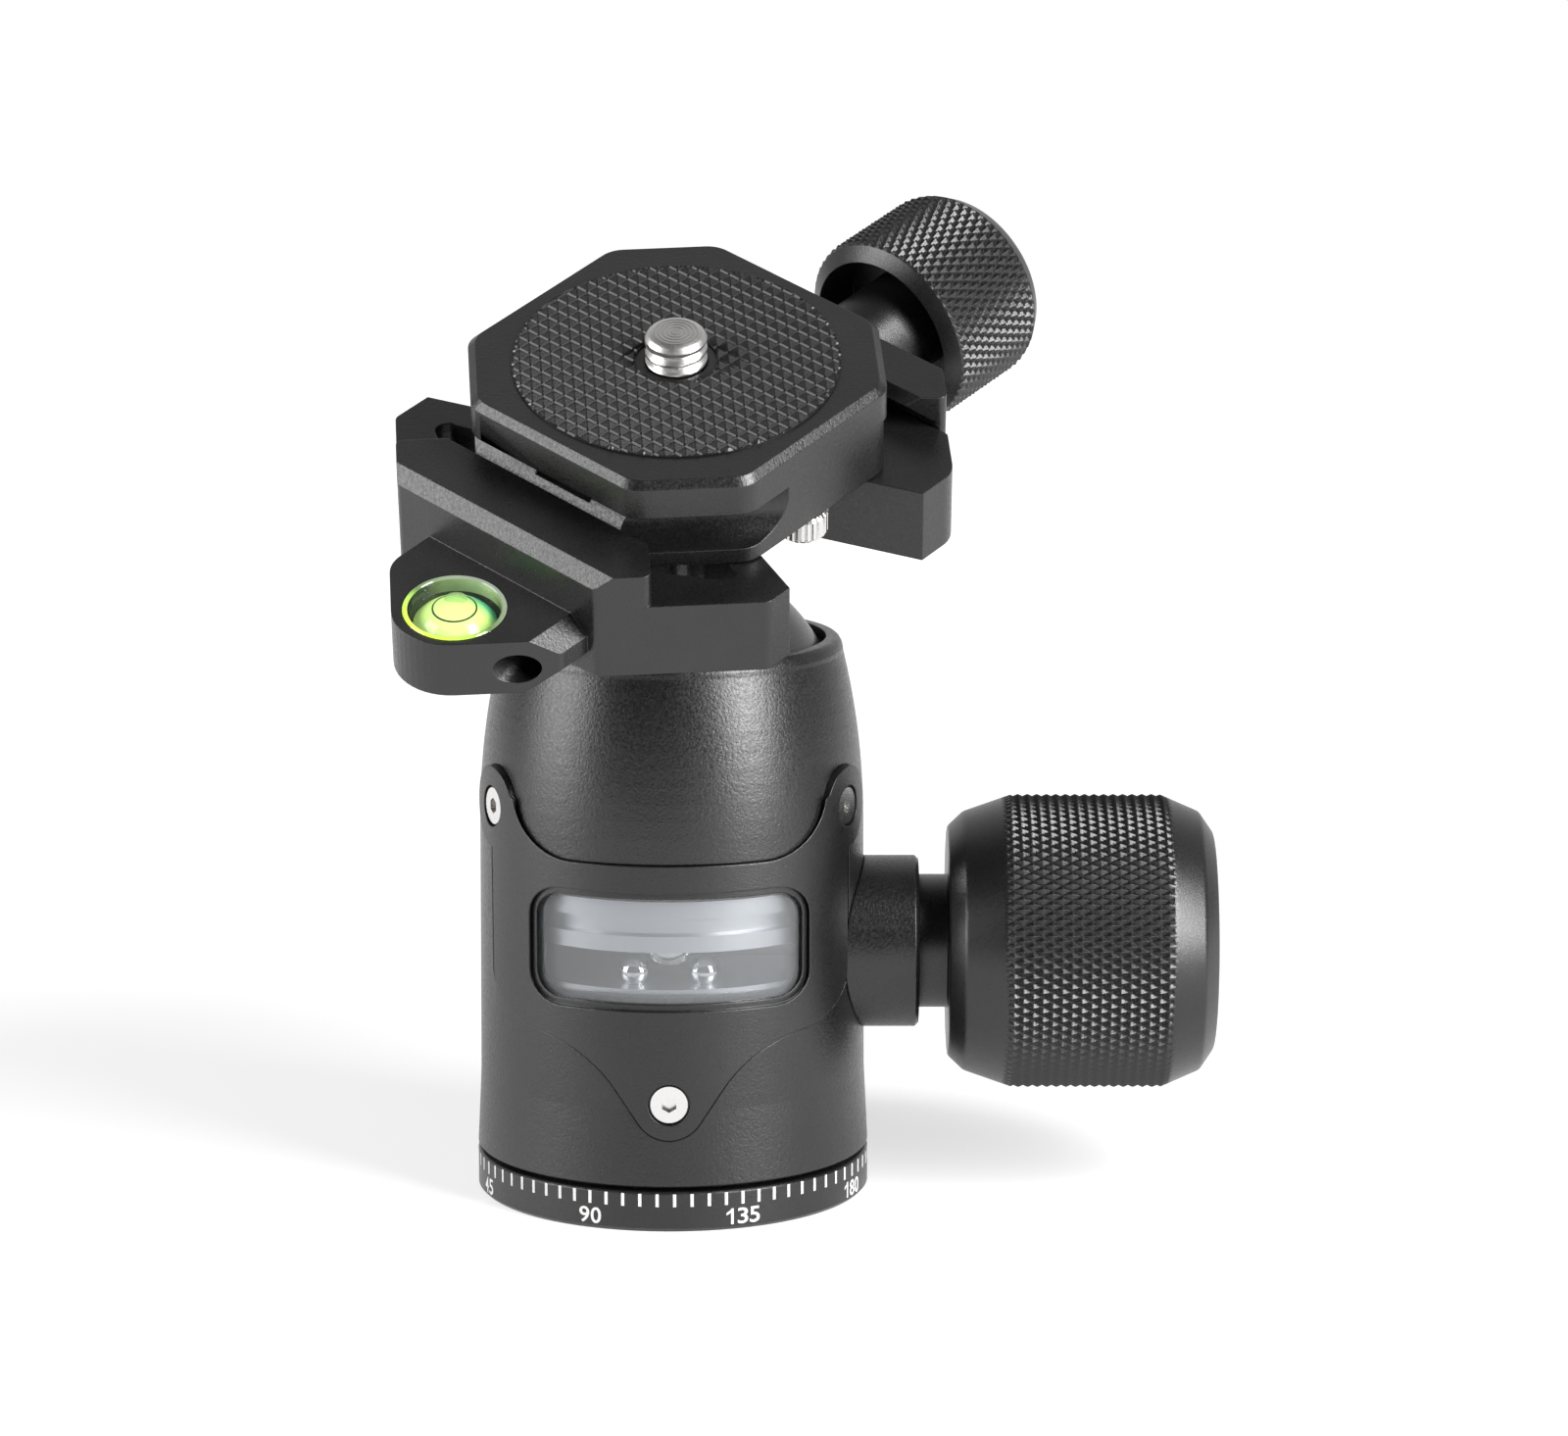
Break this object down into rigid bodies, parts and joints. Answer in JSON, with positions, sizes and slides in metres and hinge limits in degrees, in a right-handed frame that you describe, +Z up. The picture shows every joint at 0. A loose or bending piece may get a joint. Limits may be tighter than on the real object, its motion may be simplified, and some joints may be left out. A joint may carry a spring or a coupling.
{
  "type": "tripod ball head",
  "caption": "Compact tripod ball head: panning base, knob-locked ball with a window on its locking cells, screw clamp with round level, dovetail camera plate.",
  "frame": {"origin": "centre of the base ring's underside, where the head stands on a tripod", "axes": "+Z up along the panning axis; the window faces -Y; the ball-lock knob points along +X; the head is tilted 28.2 degrees towards the window at rest"},
  "size_m": [0.0862, 0.0736, 0.1054],
  "materials": {
    "black_anodised": "bead-blasted aluminium, satin black anodised",
    "black_knob": "satin black anodised aluminium, diamond knurled",
    "ball_coat": "smooth satin dark grey hard coat",
    "stainless": "turned stainless steel",
    "cup_alloy": "turned bare aluminium",
    "bearing_steel": "polished bearing steel",
    "brass": "turned brass",
    "slide_plastic": "plain low-friction plastic",
    "smoked_window": "lightly smoked clear polycarbonate",
    "level_clear": "clear acrylic",
    "level_fluid": "yellow-green spirit",
    "pad_rubber": "black rubber with a fine moulded texture"
  },
  "bodies": {
    "pan_base": {"pan_ring": "black_anodised", "thread_insert": "brass", "pan_screws": "stainless", "pan_spindle": "stainless", "nut_washer": "stainless", "pan_nut": "stainless"},
    "housing": {"housing": "black_anodised", "housing_floor": "cup_alloy", "pan_washer": "slide_plastic", "window_bezel": "black_anodised", "window_lens": "smoked_window", "bezel_screws": "stainless", "cell_ring": "cup_alloy", "cell_balls": "bearing_steel", "lock_collar": "black_anodised"},
    "pan_shoe": {"pan_lock_shoe": "brass"},
    "pan_knob": {"pan_lock_screw": "stainless", "pan_lock_knob": "black_knob"},
    "lock_wedge": {"lock_cone": "stainless"},
    "lock_knob": {"lock_shaft": "stainless", "lock_knob": "black_knob"},
    "pressure_cup": {"pressure_cup": "cup_alloy", "cup_liner": "slide_plastic", "cell_domes": "bearing_steel", "lift_pin": "stainless"},
    "seat": {"seat_ring": "slide_plastic"},
    "ball": {"ball_stem": "ball_coat"},
    "clamp": {"clamp_body": "black_anodised", "clamp_bolt": "stainless", "guide_pins": "stainless", "vial_cup": "level_clear", "vial_fluid": "level_fluid", "vial_bubble": "level_clear", "vial_lens": "level_clear"},
    "jaw": {"moving_jaw": "black_anodised"},
    "clamp_knob": {"clamp_screw": "stainless", "clamp_knob": "black_knob", "jaw_washer": "stainless", "jaw_clip": "stainless"},
    "plate": {"plate": "black_anodised", "pad": "pad_rubber", "stop_screws": "stainless"},
    "camera_screw": {"camera_screw": "stainless", "screw_clip": "stainless"}
  },
  "joints": [
    {"name": "pan", "type": "hinge", "parent": "pan_base", "child": "housing", "pos_m": [0, 0, 0.01], "axis": [0, 0, 1], "continuous": true},
    {"name": "pan_lock_travel", "type": "slide", "parent": "housing", "child": "pan_shoe", "axis": [0, 1, 0], "range_m": [-0.00027, 0.001]},
    {"name": "pan_lock_turn", "type": "hinge", "parent": "pan_shoe", "child": "pan_knob", "pos_m": [0, 0.02, 0.0112], "axis": [0, 1, 0], "range_deg": [-100, 361]},
    {"name": "lock_travel", "type": "slide", "parent": "housing", "child": "lock_wedge", "axis": [1, 0, 0], "range_m": [0, 0.0015]},
    {"name": "lock_turn", "type": "hinge", "parent": "lock_wedge", "child": "lock_knob", "pos_m": [0.02, 0, 0.0266], "axis": [1, 0, 0], "range_deg": [0, 541]},
    {"name": "cup_drop", "type": "slide", "parent": "housing", "child": "pressure_cup", "axis": [0, 0, -1], "range_m": [0, 0.000405]},
    {"name": "swivel", "type": "hinge", "parent": "housing", "child": "seat", "pos_m": [0, 0, 0.0504], "axis": [0, 0, 1], "continuous": true},
    {"name": "tilt", "type": "hinge", "parent": "seat", "child": "ball", "pos_m": [0, 0, 0.0504], "axis": [1, 0, 0], "range_deg": [-63.2, 6.8]},
    {"name": "spin", "type": "hinge", "parent": "ball", "child": "clamp", "pos_m": [0, 0, 0.0504], "axis": [0, -0.4726, 0.8813], "continuous": true},
    {"name": "jaw_slide", "type": "slide", "parent": "clamp", "child": "jaw", "axis": [0.6547, 0.6661, 0.3572], "range_m": [0, 0.0025]},
    {"name": "clamp_turn", "type": "hinge", "parent": "jaw", "child": "clamp_knob", "pos_m": [0.01964, 0.00481, 0.0894], "axis": [0.6547, 0.6661, 0.3572], "range_deg": [0, 901]},
    {"name": "plate_slide", "type": "slide", "parent": "clamp", "child": "plate", "axis": [0.7559, -0.577, -0.3094], "range_m": [-0.0035, 0.0035]},
    {"name": "camera_screw_turn", "type": "hinge", "parent": "plate", "child": "camera_screw", "pos_m": [0.00104, -0.02135, 0.09194], "axis": [0, -0.4726, 0.8813], "continuous": true}
  ],
  "couplings": [
    {"joint": "pan_lock_turn", "follows": "pan_lock_travel", "rad_per_m": 6283.2},
    {"joint": "lock_turn", "follows": "lock_travel", "rad_per_m": 6283.2},
    {"joint": "cup_drop", "follows": "lock_travel", "ratio": 0.26795},
    {"joint": "clamp_turn", "follows": "jaw_slide", "rad_per_m": 6283.2}
  ]
}
